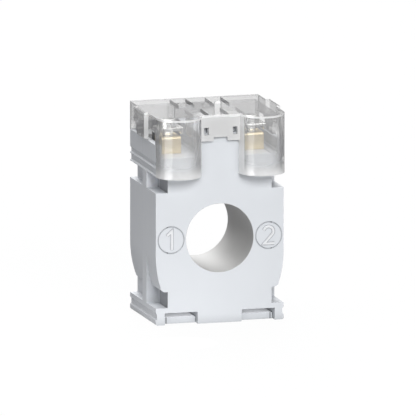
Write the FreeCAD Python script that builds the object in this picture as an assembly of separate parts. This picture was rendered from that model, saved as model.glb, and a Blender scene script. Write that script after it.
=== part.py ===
import FreeCAD, Part
import math
import os

# Cable current transformer with a round window, in millimetres.
# X runs to the right, Y from the front face to the back, Z up.
# The origin is the centre of the cable window on the front face of the case.

# Case
case_depth = 29.7
case_base_z = -26.9
case_wall = 1.8
parting_y = 15.2
base_chamfer = 0.45

# Cable window
window_radius = 10.9
window_wall = 1.4

# Wide middle flange with its curved lower sides
flange_top_z = 15.0
flange_bottom_z = -16.4
flange_curve_top_z = -5.0
flange_curve_radius = 32.5
flange_corner_radius = 1.6

# Clip notches beside the flange, deeper in front of the middle rib
front_notch_depth = 3.9
rear_notch_depth = 2.4
rib_front_y = 10.7
foot_top_z = -21.5

# Dovetail grooves on the sides, one in each foot and two in the head
groove_depth = 0.4
groove_bevel = 0.35
foot_groove_low_z = -25.2
foot_groove_high_z = -22.9
head_groove_low_z = 20.5
head_groove_high_z = 22.7
upper_groove_low_z = 23.0
upper_groove_high_z = 24.8

# Base slots and the tongues of the rear shell that lie in them
slot_inner_x = 7.1
slot_outer_x = 17.8
slot_top_z = -23.1
tongue_side_gap = 0.15
tongue_top_gap = 1.6
tongue_base_gap = 0.05
tongue_setback = 2.0
tongue_corner_radius = 0.8
cavity_floor_wall = 1.8

# Round marking fields on the front face, framed by a fine groove
mark_radius = 4.4
mark_groove_width = 0.4
mark_groove_depth = 0.45

# Terminal head
head_bottom_z = 20.2
pocket_floor_z = 25.9
pocket_floor_wall = 1.6
side_wall_top_z = 30.3
tower_half_width = 6.1
tower_top_z = 33.1
tower_wall = 1.8
tower_roof = 1.6

# Clear terminal cover
cover_top_z = 39.1
cover_wall = 1.2
cover_gap = 0.3
bridge_thickness = 1.0
bridge_bottom_z = 32.2
tab_bottom_z = 31.0
tab_inner_x = 2.3
catch_inner_x = 3.9
catch_outer_x = 5.4
catch_bottom_z = 32.9
catch_top_z = 35.3
catch_height = 0.2
catch_length = 0.6
catch_pocket_depth = 1.2
catch_gap = 0.15
lug_thickness = 1.3
lug_front_y = 8.9
lug_back_y = 20.8
lug_bottom_z = 31.0
entry_top_z = 34.6
entry_radius = 2.6
front_entry_y = 0.6
rear_entry_y = 17.3
rear_entry_margin = 1.4
roof_window_inner_x = 3.15
roof_window_outer_x = 8.2
roof_window_front_y = 0.8
roof_window_length = 10.4
rear_slot_inner_x = 6.4
rear_slot_outer_x = 8.6
rear_slot_bottom_z = 31.6
rear_slot_radius = 1.0
rear_vent_x = 4.3
rear_vent_radius = 1.8
rear_vent_bottom_z = 36.0
cover_rib_thickness = 0.9
cover_rib_length = 6.2
cover_rib_bottom_z = 32.1

# Terminals: brass bracket, screw and clamp plate
bracket_width = 6.3
bracket_front_y = 7.9
bracket_depth = 8.2
bracket_height = 5.3
bracket_thickness = 1.2
bracket_bend_radius = 0.7
tag_width = 3.0
tag_length = 3.4
tag_gap = 0.1
screw_radius = 1.7
screw_clearance = 0.06
screw_head_radius = 2.7
screw_head_height = 2.4
screw_head_bevel = 0.6
screw_slot_width = 0.8
screw_slot_depth = 1.2
screw_reach = 5.6
plate_lift = 1.7
plate_thickness = 0.9
plate_length = 6.4
plate_lip = 1.1
plate_lip_thickness = 0.8
plate_side_gap = 0.2
plate_head_gap = 0.05

# Ring core, its insulation, the winding and the wrap around it
core_thickness = 1.9
core_length = 19.6
core_cap_wall = 0.5
winding_wall = 0.85
winding_bundles = 22
wrap_wall = 0.25
ring_gap = 0.05
ring_to_window_gap = 0.25
ring_to_case_gap = 0.95

# Leads from the winding to the bracket tags
lead_radius = 0.6
lead_hole_gap = 0.15
sleeve_wall = 0.35
sleeve_gap = 0.05
sleeve_end_gap = 0.4

# Sizes that follow from the ones above
cap_depth = ring_gap + core_cap_wall
winding_depth = cap_depth + ring_gap + winding_wall
wrap_depth = winding_depth + ring_gap + wrap_wall
core_inner_radius = window_radius + window_wall + ring_to_window_gap + wrap_depth
core_outer_radius = core_inner_radius + core_thickness
inner_half_width = core_outer_radius + wrap_depth + ring_to_case_gap
half_width = inner_half_width + case_wall
front_notch_x = half_width - front_notch_depth
rear_notch_x = half_width - rear_notch_depth
mark_x = (window_radius + half_width) / 2
back_y = case_depth
cavity_front_y = case_wall
cavity_back_y = case_depth - case_wall
cavity_floor_z = slot_top_z + cavity_floor_wall
cavity_roof_z = pocket_floor_z - pocket_floor_wall
cover_under_z = cover_top_z - cover_wall
bulge_radius = (half_width - tower_half_width) / 2
bulge_x = half_width - bulge_radius
terminal_x = bulge_x
tower_back_y = back_y - cover_wall - cover_gap
bracket_top_z = pocket_floor_z + bracket_height
bracket_back_y = bracket_front_y + bracket_depth
screw_y = bracket_front_y + bracket_depth / 2
plate_bottom_z = bracket_top_z + plate_lift
plate_top_z = plate_bottom_z + plate_thickness
head_under_z = plate_top_z + plate_head_gap
tag_bottom_z = pocket_floor_z - tag_length
lead_y = bracket_back_y - bracket_thickness / 2
core_middle_y = case_depth / 2

MARGIN = 1.0


def vector(x, y, z):
    return FreeCAD.Vector(x, y, z)


def block(x0, x1, y0, y1, z0, z1):
    return Part.makeBox(x1 - x0, y1 - y0, z1 - z0, vector(x0, y0, z0))


def disc_y(radius, x, z, y0, y1):
    return Part.makeCylinder(radius, y1 - y0, vector(x, y0, z), vector(0, 1, 0))


def ring_y(inner, outer, y0, y1):
    return disc_y(outer, 0, 0, y0, y1).cut(disc_y(inner, 0, 0, y0, y1))


def wound_prism(radius, y0, y1):
    """A prism with one flat side for each bundle of turns."""
    points = []
    for index in range(winding_bundles + 1):
        angle = 2 * math.pi * (index + 0.5) / winding_bundles
        points.append(vector(radius * math.cos(angle), y0, radius * math.sin(angle)))
    return Part.Face(Part.makePolygon(points)).extrude(vector(0, y1 - y0, 0))


def wound_ring(inner, outer, y0, y1):
    return wound_prism(outer, y0, y1).cut(wound_prism(inner, y0, y1))


def post_z(radius, x, y, z0, z1):
    return Part.makeCylinder(radius, z1 - z0, vector(x, y, z0), vector(0, 0, 1))


def mirrored(shape):
    return shape.mirror(vector(0, 0, 0), vector(1, 0, 0))


def both_sides(shape):
    """The shape together with its mirror image across the middle plane."""
    return shape.fuse(mirrored(shape)).removeSplitter()


def prism_y(edges, y0, y1):
    """A closed outline drawn in the plane y = 0, extruded from y0 to y1."""
    face = Part.Face(Part.Wire(edges))
    solid = face.extrude(vector(0, y1 - y0, 0))
    solid.translate(vector(0, y0, 0))
    return solid


def line(a, b):
    return Part.LineSegment(vector(a[0], 0, a[1]), vector(b[0], 0, b[1])).toShape()


def arc(centre, radius, start, end):
    """An arc in the plane y = 0, between two angles in degrees."""
    points = []
    for angle in (start, (start + end) / 2, end):
        turn = math.radians(angle)
        points.append(vector(centre[0] + radius * math.cos(turn), 0, centre[1] + radius * math.sin(turn)))
    return Part.Arc(*points).toShape()


def polygon(points):
    return [line(a, b) for a, b in zip(points, points[1:])]


def groove(low_z, high_z):
    """Outline points of one dovetail groove, from below to above."""
    floor_x = half_width - groove_depth
    return [
        (half_width, low_z),
        (floor_x, low_z + groove_bevel),
        (floor_x, high_z - groove_bevel),
        (half_width, high_z),
    ]


def half_profile(notch_x, corner_radius):
    """Right half of the case outline, up to the top of the side wall."""
    foot = [
        (0, case_base_z),
        (half_width - base_chamfer, case_base_z),
        (half_width, case_base_z + base_chamfer),
        *groove(foot_groove_low_z, foot_groove_high_z),
        (half_width, foot_top_z),
        (notch_x, foot_top_z),
        (notch_x, flange_bottom_z),
    ]
    curve_centre = (half_width - flange_curve_radius, flange_curve_top_z)
    curve_end_z = flange_bottom_z + corner_radius
    curve_drop = flange_curve_top_z - curve_end_z
    curve_angle = math.degrees(math.asin(curve_drop / flange_curve_radius))
    curve_end_x = curve_centre[0] + flange_curve_radius * math.cos(math.radians(curve_angle))
    ledge_end = (curve_end_x - corner_radius, flange_bottom_z)
    head = [
        (half_width, flange_curve_top_z),
        (half_width, flange_top_z),
        (notch_x, flange_top_z),
        (notch_x, head_bottom_z),
        (half_width, head_bottom_z),
        *groove(head_groove_low_z, head_groove_high_z),
        *groove(upper_groove_low_z, upper_groove_high_z),
        (half_width, side_wall_top_z),
        (0, side_wall_top_z),
        (0, case_base_z),
    ]
    edges = polygon([*foot, ledge_end])
    if corner_radius > 0:
        edges.append(arc((ledge_end[0], curve_end_z), corner_radius, -90, 0))
    edges.append(arc(curve_centre, flange_curve_radius, -curve_angle, 0))
    edges.extend(polygon(head))
    return edges


def rib_profile():
    """Right half of the middle rib, which fills the clip notches."""
    return polygon([
        (0, foot_groove_low_z),
        (half_width, foot_groove_low_z),
        *groove(foot_groove_low_z, foot_groove_high_z)[1:],
        (half_width, head_bottom_z),
        (half_width, head_groove_low_z),
        (0, head_groove_low_z),
        (0, foot_groove_low_z),
    ])


def cavity():
    """The room for the ring core and the leads, through both shells."""
    narrow_x = front_notch_x - case_wall
    low_step_z = flange_bottom_z + case_wall
    high_step_z = flange_top_z - case_wall
    curve_x = half_width - flange_curve_radius
    inner_radius = flange_curve_radius - case_wall
    curve_angle = math.degrees(math.asin((flange_curve_top_z - low_step_z) / inner_radius))
    step_x = curve_x + inner_radius * math.cos(math.radians(curve_angle))
    edges = polygon([
        (0, cavity_floor_z),
        (narrow_x, cavity_floor_z),
        (narrow_x, low_step_z),
        (step_x, low_step_z),
    ])
    edges.append(arc((curve_x, flange_curve_top_z), inner_radius, -curve_angle, 0))
    edges.extend(polygon([
        (inner_half_width, flange_curve_top_z),
        (inner_half_width, high_step_z),
        (narrow_x, high_step_z),
        (narrow_x, cavity_roof_z),
        (0, cavity_roof_z),
        (0, cavity_floor_z),
    ]))
    room = prism_y(edges, cavity_front_y, cavity_back_y)
    return both_sides(room)


def terminal_pocket():
    """Right terminal compartment, open at the front and at the top."""
    return block(tower_half_width, inner_half_width, -MARGIN, cavity_back_y, pocket_floor_z, cover_top_z)


def tower():
    """The middle tower between the terminals, hollow from below, with a taller front wall."""
    body = block(-tower_half_width, tower_half_width, 0, tower_back_y, pocket_floor_z, tower_top_z)
    front_wall = block(-tower_half_width, tower_half_width, 0, tower_wall, pocket_floor_z, cover_under_z)
    hollow_half = tower_half_width - tower_wall
    hollow = block(
        -hollow_half, hollow_half, cavity_front_y, tower_back_y - tower_wall,
        pocket_floor_z - pocket_floor_wall - MARGIN, tower_top_z - tower_roof,
    )
    return body.fuse(front_wall).cut(hollow).removeSplitter()


def roof_window_spans():
    """Front and back limits of the two rows of roof windows."""
    rear_y = back_y - cover_wall - roof_window_length
    return [
        (roof_window_front_y, roof_window_front_y + roof_window_length),
        (rear_y, rear_y + roof_window_length),
    ]


def tag_slot():
    return block(
        terminal_x - tag_width / 2 - tag_gap, terminal_x + tag_width / 2 + tag_gap,
        bracket_back_y - bracket_thickness - tag_gap, bracket_back_y + tag_gap,
        tag_bottom_z - MARGIN, pocket_floor_z + MARGIN,
    )


def case_body():
    """Both shells as one, before they are parted."""
    front = both_sides(prism_y(half_profile(front_notch_x, flange_corner_radius), 0, rib_front_y))
    rib = both_sides(prism_y(rib_profile(), rib_front_y, parting_y))
    middle = both_sides(prism_y(half_profile(front_notch_x, flange_corner_radius), rib_front_y, parting_y))
    rear = both_sides(prism_y(half_profile(rear_notch_x, 0), parting_y, back_y))
    body = front.fuse([rib, middle, rear]).removeSplitter()
    body = body.cut(cavity())
    sleeve = ring_y(window_radius, window_radius + window_wall, 0, back_y)
    hollow_half = tower_half_width - tower_wall
    core_out = block(
        -hollow_half, hollow_half, cavity_front_y, tower_back_y - tower_wall,
        cavity_roof_z - MARGIN, side_wall_top_z + MARGIN,
    )
    body = body.cut(core_out).fuse(tower()).fuse(sleeve)
    body = body.cut(disc_y(window_radius, 0, 0, -MARGIN, back_y + MARGIN))
    for opening in (terminal_pocket(), tag_slot()):
        body = body.cut(opening).cut(mirrored(opening))
    return body.fuse(rear_wall()).removeSplitter()


def base_slot():
    return block(slot_inner_x, slot_outer_x, -MARGIN, parting_y, case_base_z - MARGIN, slot_top_z)


def mark_groove():
    """Fine round groove that frames the right marking field."""
    field = disc_y(mark_radius, mark_x, 0, -MARGIN, mark_groove_depth)
    return field.cut(disc_y(mark_radius - mark_groove_width, mark_x, 0, -MARGIN, mark_groove_depth))


def catch_span(z0, z1, y0, y1):
    """Block behind a window of the bridge, a little smaller than the window."""
    return block(catch_inner_x + catch_gap, catch_outer_x - catch_gap, y0, y1, z0 + catch_gap, z1 - catch_gap)


def catch_pocket():
    return catch_span(catch_bottom_z, catch_top_z, -MARGIN, catch_pocket_depth)


def snap_catch():
    """Low catch at the foot of the pocket, which shows in a window of the bridge."""
    return catch_span(catch_bottom_z, catch_bottom_z + catch_length, -catch_height, catch_pocket_depth)


def rear_wall():
    """Wall behind both terminals, inside the cover's rear wall."""
    inner = inner_half_width + cover_gap
    return block(-inner, inner, tower_back_y - case_wall, tower_back_y, pocket_floor_z, tower_top_z)


def front_shell():
    part = block(-half_width, half_width, -MARGIN, parting_y, case_base_z - MARGIN, cover_top_z)
    shell = case_body().common(part)
    for opening in (base_slot(), mark_groove(), catch_pocket()):
        shell = shell.cut(opening).cut(mirrored(opening))
    return shell.fuse([snap_catch(), mirrored(snap_catch())]).removeSplitter()


def rear_shell():
    part = block(-half_width, half_width, parting_y, back_y + MARGIN, case_base_z - MARGIN, cover_top_z)
    shell = case_body().common(part)
    tongue = block(
        slot_inner_x + tongue_side_gap, slot_outer_x - tongue_side_gap, tongue_setback, parting_y + case_wall,
        case_base_z + tongue_base_gap, slot_top_z - tongue_top_gap,
    )
    long_edges = [
        e for e in tongue.Edges
        if e.BoundBox.YLength > case_wall and e.BoundBox.ZMin > case_base_z + case_wall
    ]
    tongue = tongue.makeFillet(tongue_corner_radius, long_edges)
    return shell.fuse([tongue, mirrored(tongue)]).removeSplitter()


def cable_entry(y0, y1):
    """Arched wire opening through the cover's right skirt and lug."""
    x0 = inner_half_width - MARGIN
    x1 = half_width + lug_thickness + MARGIN
    entry = block(x0, x1, y0, y1, side_wall_top_z - MARGIN, entry_top_z)
    upper_edges = [
        e for e in entry.Edges
        if e.BoundBox.XLength > MARGIN and e.BoundBox.ZMin > side_wall_top_z
    ]
    return entry.makeFillet(entry_radius, upper_edges)


def bulge(radius, z0, z1):
    """Half-round front of one terminal compartment."""
    round_post = post_z(radius, bulge_x, 0, z0, z1)
    return round_post.common(block(0, half_width + MARGIN, -case_depth, 0, z0, z1))


def rear_slot():
    """Upright slot beside the tower in the rear wall of the cover, round at its top."""
    slot = block(
        rear_slot_inner_x, rear_slot_outer_x, back_y - cover_wall - MARGIN, back_y + MARGIN,
        rear_slot_bottom_z, cover_under_z,
    )
    upper_edges = [
        e for e in slot.Edges
        if e.BoundBox.YLength > MARGIN and e.BoundBox.ZMin > rear_slot_bottom_z
    ]
    return slot.makeFillet(rear_slot_radius, upper_edges)


def rear_vent():
    """Half-round vent above the tower in the rear wall of the cover."""
    y0 = back_y - cover_wall - MARGIN
    y1 = back_y + MARGIN
    disc = disc_y(rear_vent_radius, rear_vent_x, rear_vent_bottom_z, y0, y1)
    above = block(0, half_width, y0, y1, rear_vent_bottom_z, cover_top_z)
    return disc.common(above)


def cover_outside():
    """Cap, two half-round fronts, bridge, snap tabs and side lugs, all solid."""
    cap = block(-half_width, half_width, 0, back_y, side_wall_top_z, cover_top_z)
    front = bulge(bulge_radius, head_bottom_z, cover_top_z)
    lug = block(half_width, half_width + lug_thickness, lug_front_y, lug_back_y, lug_bottom_z, cover_top_z)
    bridge_y = -cover_gap - bridge_thickness
    reach = tower_half_width + MARGIN
    bridge = block(-reach, reach, bridge_y, 0, bridge_bottom_z, cover_top_z)
    tab = block(tab_inner_x, reach, bridge_y, 0, tab_bottom_z, bridge_bottom_z)
    return cap.fuse([front, mirrored(front), lug, mirrored(lug), bridge, tab, mirrored(tab)]).removeSplitter()


def cover_inside():
    """The room inside the cap, the half-round fronts and the bridge."""
    inner = half_width - cover_wall
    low_z = head_bottom_z - MARGIN
    front = bulge(bulge_radius - cover_wall, low_z, cover_under_z)
    front = front.common(block(tower_half_width + cover_wall, inner, -case_depth, 0, low_z, cover_under_z))
    tower_gap = block(-tower_half_width, tower_half_width, -cover_gap, 0, head_bottom_z, cover_under_z)
    back = block(-inner, inner, 0, back_y - cover_wall, low_z, cover_under_z)
    return [front, mirrored(front), tower_gap, back]


def terminal_cover():
    """One clear moulding over both terminals, with its windows, arches and ribs."""
    body = cover_outside()
    for room in cover_inside():
        body = body.cut(room)

    catch = block(catch_inner_x, catch_outer_x, -bulge_radius, 0, catch_bottom_z, catch_top_z)
    entries = [
        cable_entry(front_entry_y, lug_front_y),
        cable_entry(rear_entry_y, back_y - rear_entry_margin),
    ]
    windows = [
        block(roof_window_inner_x, roof_window_outer_x, y0, y1, cover_under_z - MARGIN, cover_top_z + MARGIN)
        for y0, y1 in roof_window_spans()
    ]
    for opening in (catch, rear_slot(), rear_vent(), *entries, *windows):
        body = body.cut(opening).cut(mirrored(opening))

    rib = block(
        roof_window_outer_x, roof_window_outer_x + cover_rib_thickness,
        roof_window_front_y, roof_window_front_y + cover_rib_length,
        cover_rib_bottom_z, cover_under_z,
    )
    return body.fuse([rib, mirrored(rib)]).removeSplitter()


def terminal_bracket():
    """Bent brass strip under the right screw, with a solder tag below."""
    x0 = terminal_x - bracket_width / 2
    x1 = terminal_x + bracket_width / 2
    outside = block(x0, x1, bracket_front_y, bracket_back_y, pocket_floor_z, bracket_top_z)
    bends = [e for e in outside.Edges if e.BoundBox.XLength > MARGIN and e.BoundBox.ZMin > pocket_floor_z]
    outside = outside.makeFillet(bracket_bend_radius, bends)
    inside = block(
        x0 - MARGIN, x1 + MARGIN, bracket_front_y + bracket_thickness, bracket_back_y - bracket_thickness,
        pocket_floor_z - MARGIN, bracket_top_z - bracket_thickness,
    )
    tag = block(
        terminal_x - tag_width / 2, terminal_x + tag_width / 2,
        bracket_back_y - bracket_thickness, bracket_back_y, tag_bottom_z, pocket_floor_z + MARGIN,
    )
    hole = post_z(screw_radius + screw_clearance, terminal_x, screw_y, pocket_floor_z, bracket_top_z + MARGIN)
    return outside.cut(inside).fuse(tag).cut(hole).removeSplitter()


def clamp_plate():
    """Saddle plate on the right screw, with lips that run beside the bracket."""
    half = bracket_width / 2 + plate_side_gap + plate_lip_thickness
    y0 = screw_y - plate_length / 2
    y1 = screw_y + plate_length / 2
    plate = block(terminal_x - half, terminal_x + half, y0, y1, plate_bottom_z - plate_lip, plate_top_z)
    under = block(
        terminal_x - half + plate_lip_thickness, terminal_x + half - plate_lip_thickness,
        y0 - MARGIN, y1 + MARGIN, plate_bottom_z - plate_lip - MARGIN, plate_bottom_z,
    )
    hole_radius = screw_radius + screw_clearance
    hole = post_z(hole_radius, terminal_x, screw_y, plate_bottom_z - MARGIN, plate_top_z + MARGIN)
    return plate.cut(under).cut(hole)


def terminal_screw():
    """Slotted pan head screw of the right terminal."""
    top_z = head_under_z + screw_head_height
    shank = post_z(screw_radius, terminal_x, screw_y, head_under_z - screw_reach, head_under_z)
    head = post_z(screw_head_radius, terminal_x, screw_y, head_under_z, top_z)
    rim = [e for e in head.Edges if e.BoundBox.ZMin > top_z - screw_head_bevel]
    head = head.makeChamfer(screw_head_bevel, rim)
    slot = block(
        terminal_x - screw_head_radius, terminal_x + screw_head_radius,
        screw_y - screw_slot_width / 2, screw_y + screw_slot_width / 2,
        top_z - screw_slot_depth, top_z + MARGIN,
    )
    return shank.fuse(head).cut(slot).removeSplitter()


def ring_layer(layer):
    """Radii and ends of the closed ring that lies a given depth around the core."""
    return (
        core_inner_radius - layer,
        core_outer_radius + layer,
        core_middle_y - core_length / 2 - layer,
        core_middle_y + core_length / 2 + layer,
    )


def ring_core():
    return ring_y(*ring_layer(0))


def core_caps():
    """Front and rear insulating cups that close around the core."""
    shell = ring_y(*ring_layer(cap_depth)).cut(ring_y(*ring_layer(ring_gap)))
    reach = core_outer_radius * 2
    front = shell.common(block(-reach, reach, -MARGIN, core_middle_y, -reach, reach))
    rear = shell.common(block(-reach, reach, core_middle_y, back_y, -reach, reach))
    return front, rear


def secondary_winding():
    """Copper turns around the capped core, in flat bundles side by side."""
    inner, outer, front_y, rear_y = ring_layer(cap_depth + ring_gap)
    corner_stretch = 1 / math.cos(math.pi / winding_bundles)
    room = wound_ring(inner, outer * corner_stretch, front_y, rear_y)
    return wound_ring(*ring_layer(winding_depth)).cut(room)


def winding_wrap():
    """Tape around the winding, with a hole where each lead comes out."""
    shell = wound_ring(*ring_layer(wrap_depth)).cut(wound_ring(*ring_layer(winding_depth + ring_gap)))
    hole = lead_post(lead_radius + lead_hole_gap)
    return shell.cut(hole).cut(mirrored(hole))


def core_cushions():
    """Soft washers between the wrapped core and the two shells."""
    inner, outer, front_y, rear_y = ring_layer(wrap_depth)
    return wound_ring(inner, outer, cavity_front_y, front_y), wound_ring(inner, outer, rear_y, cavity_back_y)


def lead_post(radius):
    """Upright round bar from the side of the core up to the right bracket tag."""
    return post_z(radius, terminal_x, lead_y, 0, tag_bottom_z)


def lead_wire():
    """End of the winding that rises to the right bracket tag."""
    _, outer, front_y, rear_y = ring_layer(winding_depth)
    return lead_post(lead_radius).cut(wound_prism(outer, front_y, rear_y))


def lead_sleeve():
    """Insulating sleeve over the right lead, from the wrap to below the tag."""
    outer = lead_radius + sleeve_gap + sleeve_wall
    wrap_radius = core_outer_radius + wrap_depth
    bottom_z = math.sqrt(wrap_radius ** 2 - (terminal_x - outer) ** 2) + sleeve_end_gap
    top_z = tag_bottom_z - sleeve_end_gap
    tube = post_z(outer, terminal_x, lead_y, bottom_z, top_z)
    return tube.cut(post_z(lead_radius + sleeve_gap, terminal_x, lead_y, bottom_z, top_z))


def write(name, shape):
    shape.exportStep("parts/" + name + ".step")


def write_pair(name, right):
    write(name + "_right", right)
    write(name + "_left", mirrored(right))


def main():
    os.makedirs("parts", exist_ok=True)
    write("front_shell", front_shell())
    write("rear_shell", rear_shell())
    write("terminal_cover", terminal_cover())

    write("ring_core", ring_core())
    cap_front, cap_rear = core_caps()
    write("core_cap_front", cap_front)
    write("core_cap_rear", cap_rear)
    write("secondary_winding", secondary_winding())
    write("winding_wrap", winding_wrap())
    cushion_front, cushion_rear = core_cushions()
    write("core_cushion_front", cushion_front)
    write("core_cushion_rear", cushion_rear)

    write_pair("lead_wire", lead_wire())
    write_pair("lead_sleeve", lead_sleeve())
    write_pair("terminal_bracket", terminal_bracket())
    write_pair("clamp_plate", clamp_plate())
    write_pair("terminal_screw", terminal_screw())


main()
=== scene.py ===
"""Looks of a cable current transformer with clear terminal cover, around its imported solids."""
import bmesh
import bpy
import math
from bpy.props import (
    FloatProperty,
    FloatVectorProperty,
    IntProperty,
    PointerProperty,
)
from mathutils import Matrix, Vector


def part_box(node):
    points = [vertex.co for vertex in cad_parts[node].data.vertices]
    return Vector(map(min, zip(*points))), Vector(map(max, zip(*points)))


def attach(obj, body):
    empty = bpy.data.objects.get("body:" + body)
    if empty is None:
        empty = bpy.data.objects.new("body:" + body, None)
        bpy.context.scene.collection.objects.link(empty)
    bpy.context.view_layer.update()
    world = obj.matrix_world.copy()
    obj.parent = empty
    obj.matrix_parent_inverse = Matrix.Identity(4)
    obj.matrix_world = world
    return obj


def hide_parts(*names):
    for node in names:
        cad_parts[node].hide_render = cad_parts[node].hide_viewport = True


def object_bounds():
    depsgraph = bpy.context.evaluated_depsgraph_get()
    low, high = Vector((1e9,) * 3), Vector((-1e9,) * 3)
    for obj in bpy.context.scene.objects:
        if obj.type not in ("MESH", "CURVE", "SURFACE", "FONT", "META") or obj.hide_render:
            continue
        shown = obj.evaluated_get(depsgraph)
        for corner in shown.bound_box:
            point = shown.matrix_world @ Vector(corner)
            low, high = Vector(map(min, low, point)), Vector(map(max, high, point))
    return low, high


bl_info = {
    "name": "Current transformer looks",
    "version": (1, 0, 0),
    "blender": (4, 5, 0),
    "location": "3D View > Sidebar > Transformer",
    "description": "Finishes the case, clear cover, terminals and winding of a cable current transformer",
    "category": "Object",
}

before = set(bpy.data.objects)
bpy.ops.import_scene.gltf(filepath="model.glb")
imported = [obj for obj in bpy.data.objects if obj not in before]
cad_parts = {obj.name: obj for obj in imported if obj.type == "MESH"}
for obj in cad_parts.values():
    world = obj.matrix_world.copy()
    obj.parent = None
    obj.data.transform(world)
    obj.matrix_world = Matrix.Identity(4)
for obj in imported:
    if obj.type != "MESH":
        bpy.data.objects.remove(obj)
CAD_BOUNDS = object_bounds()

MM = 0.001
SIDES = ("left", "right")
CASE_NODES = ("front_shell", "rear_shell")
STAND_UP = Matrix.Rotation(math.radians(90), 4, "X")

# Where the tints by place apply, mostly painted shade and painted light: distances from the middle, depths and
# heights
LINING_MARGIN = 0.05 * MM
NOTCH_WALL = (16.6 * MM, 17.05 * MM)
NOTCH_DEPTH = (0.3 * MM, 9.4 * MM)
RIB_FRONT = (10.5 * MM, 10.95 * MM)
COMPARTMENT_SIDES = (5.9 * MM, 19.6 * MM)
COMPARTMENT_DEPTH = (1 * MM, 27.6 * MM)
COMPARTMENT_FOOT = 27 * MM
POCKET_BACK = (24 * MM, 27.6 * MM)
POCKET_FLOOR = 26 * MM
TONGUE_DEPTH = (2.05 * MM, 15 * MM)
TONGUE_TOP = -23 * MM
COVER_REAR = 28 * MM
COVER_FRONT = 0.5 * MM
BRIDGE_REACH = 7 * MM
WINDOW_REACH = 8.6 * MM
LUG_REACH = 20.6 * MM
LUG_FRONT = (8.75 * MM, 9.05 * MM)

# Share of the window's radius, and limits of one part of a surface's normal
LINING_FADE = 0.8
RIB_FACING = -0.7
FLAT_SLOPE = 0.97
UPRIGHT_SLOPE = 0.15

CLEAR_IOR = 1.58
FACING_BLEND = 0.4
FACING_POWER = 1.5
# Near white of the painted light on the clear cover
PAINTED_LIGHT_COLOUR = (0.98, 0.98, 0.98)
SATIN_SPREAD = 0.06
STRIP_THICKNESS = 0.3 * MM
FILM_LAPS = 28
CELL_SIZE = 0.5 * MM

WELD_REACH = 0.002 * MM
FLAT_ANGLE = math.radians(0.5)
EDGE_ANGLE = math.radians(35)
SHARP_ANGLE = math.radians(40)


# Settings, and the keywords that many of them share

COLOUR = {"subtype": "COLOR", "size": 3, "min": 0, "max": 1}
LENGTH = {"unit": "LENGTH", "min": 0}
SHARE = {"subtype": "FACTOR", "min": 0, "max": 1}
POWER = {"unit": "POWER", "min": 0}


class CaseSettings(bpy.types.PropertyGroup):
    colour: FloatVectorProperty(
        name="Case colour", description="Colour of the moulded case", default=(0.76, 0.785, 0.82), **COLOUR,
    )
    roughness: FloatProperty(
        name="Roughness", description="Sheen of the moulding, from gloss to matt", default=0.5, **SHARE,
    )
    edge_radius: FloatProperty(
        name="Edge radius", description="Rounding of the case edges", default=0.18 * MM, **LENGTH,
    )
    grain_size: FloatProperty(
        name="Grain size", description="Width of one grain of the moulded surface",
        default=0.35 * MM, **LENGTH,
    )
    grain_depth: FloatProperty(
        name="Grain depth", description="Depth of the moulded grain", default=0.006 * MM, **LENGTH,
    )
    window_radius: FloatProperty(
        name="Window radius", description="Radius of the cable window, whose lining is warmer",
        default=10.9 * MM, **LENGTH,
    )
    # A warmer tone for the window's lining, also darkened as painted shade in the window
    lining_tone_and_shade: FloatVectorProperty(
        name="Lining tint", description="Tint of the window's lining", default=(0.91, 0.878, 0.83), **COLOUR,
    )
    # Painted shade on the upper part of the window's lining
    lining_shade: FloatVectorProperty(
        name="Lining shade", description="Further tint of the lining, fading out below its middle",
        default=(0.74, 0.74, 0.75), **COLOUR,
    )
    corner_reach: FloatProperty(
        name="Corner reach", description="How far the shade spreads from a corner or groove",
        default=3.0 * MM, **LENGTH,
    )
    corner_shade: FloatProperty(
        name="Corner shade", description="How much of the colour is left deep in a corner",
        default=0.6, **SHARE,
    )
    # Painted shade on the end walls of the notches
    notch_painted_shade: FloatVectorProperty(
        name="Notch tint", description="Tint of the end walls of the notches, to match the photo",
        default=(0.46, 0.46, 0.47), **COLOUR,
    )
    # Painted light on the fronts of the side ribs, brightening them above their colour
    rib_painted_light: FloatVectorProperty(
        name="Rib tint", description="Tint of the fronts of the side ribs, to match the photo",
        subtype="COLOR", size=3, min=0, max=2, default=(1.5, 1.47, 1.46),
    )
    # Painted shade on the upper walls of the terminal compartments, under the cover
    compartment_painted_shade: FloatVectorProperty(
        name="Compartment tint", description="Tint of the upper walls of the terminal compartments",
        default=(0.72, 0.72, 0.73), **COLOUR,
    )
    # Painted shade on the backs of the terminal compartments
    pocket_painted_shade: FloatVectorProperty(
        name="Pocket tint", description="Tint of the backs of the terminal compartments",
        default=(0.25, 0.25, 0.26), **COLOUR,
    )
    # Painted light on the tongues in the base slots, whose tops lie in shade
    tongue_painted_light: FloatVectorProperty(
        name="Tongue colour", description="Colour of the tongues in the base slots",
        default=(0.97, 0.98, 1.0), **COLOUR,
    )


class MarkSettings(bpy.types.PropertyGroup):
    height: FloatProperty(
        name="Number height", description="Height of the raised numbers", default=6.2 * MM, **LENGTH,
    )
    stroke_width: FloatProperty(
        name="Stroke width", description="Width of each raised stroke", default=0.75 * MM, **LENGTH,
    )
    # Painted shadow: a darker flat ribbon round each raised stroke
    outline_colour: FloatVectorProperty(
        name="Outline colour", description="Colour of the fine flat line round each stroke",
        default=(0.44, 0.45, 0.48), **COLOUR,
    )


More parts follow.
